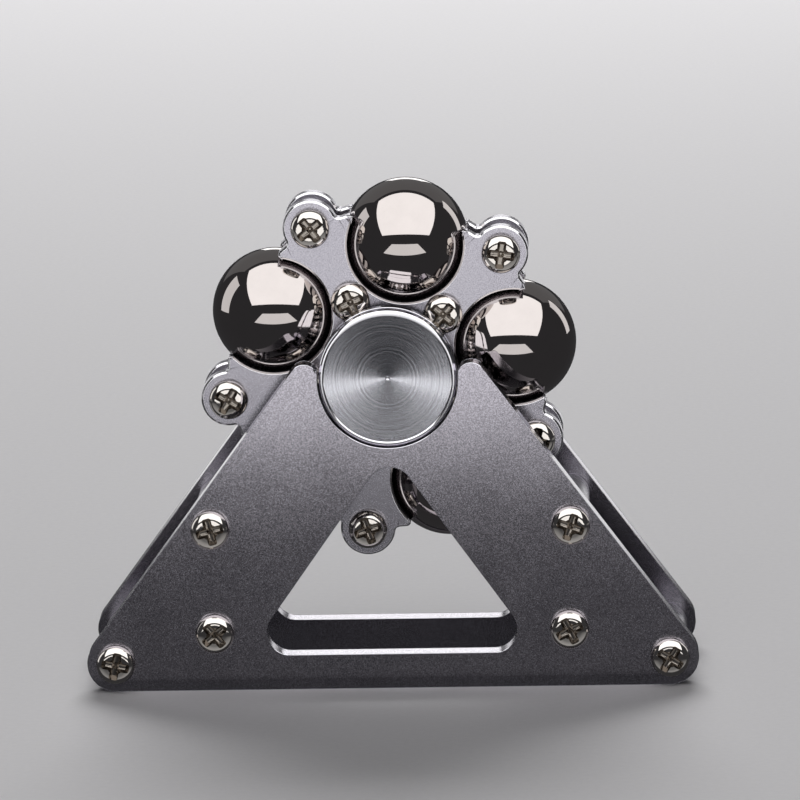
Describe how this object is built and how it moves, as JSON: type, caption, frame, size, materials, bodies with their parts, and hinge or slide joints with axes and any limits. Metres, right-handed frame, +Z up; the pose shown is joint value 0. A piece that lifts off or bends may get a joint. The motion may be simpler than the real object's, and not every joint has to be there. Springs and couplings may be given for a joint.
{
  "type": "fidget spinner",
  "caption": "Ball-weighted finger spinner whose round hub caps rest in the notches of a triangular two-plate metal display stand.",
  "frame": {"origin": "on the ground, under the middle of the stand", "axes": "+Z up; the stand's front faces -Y; the spinner's axis runs along Y; +X to the viewer's right from the front"},
  "size_m": [0.078, 0.0274, 0.064],
  "materials": {
    "stand_metal": "fine bead-blasted satin with polished chamfers",
    "standoff_steel": "turned satin",
    "screw_steel": "polished",
    "star_metal": "fine bead-blasted satin with polished chamfers",
    "ball_steel": "mirror polished",
    "spacer_steel": "turned satin",
    "cap_metal": "concentrically turned face, polished lip",
    "bearing_steel": "ground",
    "cage_steel": "stamped"
  },
  "bodies": {
    "stand": {"stand_front_plate": "stand_metal", "stand_rear_plate": "stand_metal", "stand_front_screws": "screw_steel", "stand_rear_screws": "screw_steel", "stand_standoff_left_corner": "standoff_steel", "stand_standoff_left_base": "standoff_steel", "stand_standoff_left_leg": "standoff_steel", "stand_standoff_right_corner": "standoff_steel", "stand_standoff_right_base": "standoff_steel", "stand_standoff_right_leg": "standoff_steel"},
    "hub": {"hub_front_cap": "cap_metal", "hub_rear_cap": "cap_metal", "bearing_inner_ring": "bearing_steel"},
    "rotor": {"rotor_front_plate": "star_metal", "rotor_rear_plate": "star_metal", "rotor_ball_1": "ball_steel", "rotor_ball_2": "ball_steel", "rotor_ball_3": "ball_steel", "rotor_ball_4": "ball_steel", "rotor_ball_5": "ball_steel", "rotor_spacer_1": "spacer_steel", "rotor_spacer_2": "spacer_steel", "rotor_spacer_3": "spacer_steel", "rotor_spacer_4": "spacer_steel", "rotor_spacer_5": "spacer_steel", "rotor_bearing_carrier": "spacer_steel", "rotor_front_outer_screws": "screw_steel", "rotor_front_inner_screws": "screw_steel", "rotor_rear_outer_screws": "screw_steel", "rotor_rear_inner_screws": "screw_steel", "bearing_outer_ring": "bearing_steel", "bearing_front_shield": "bearing_steel", "bearing_rear_shield": "bearing_steel"},
    "cage": {"bearing_cage": "cage_steel", "bearing_balls": "ball_steel"}
  },
  "joints": [
    {"name": "hub_lift", "type": "slide", "parent": "stand", "child": "hub", "axis": [0, 0, 1], "range_m": [0, 0.03]},
    {"name": "rotor_spin", "type": "hinge", "parent": "hub", "child": "rotor", "pos_m": [0, 0, 0.04], "axis": [0, 1, 0], "continuous": true},
    {"name": "cage_spin", "type": "hinge", "parent": "hub", "child": "cage", "pos_m": [0, 0, 0.04], "axis": [0, 1, 0], "continuous": true}
  ],
  "couplings": [
    {"joint": "cage_spin", "follows": "rotor_spin", "ratio": 0.5834}
  ]
}
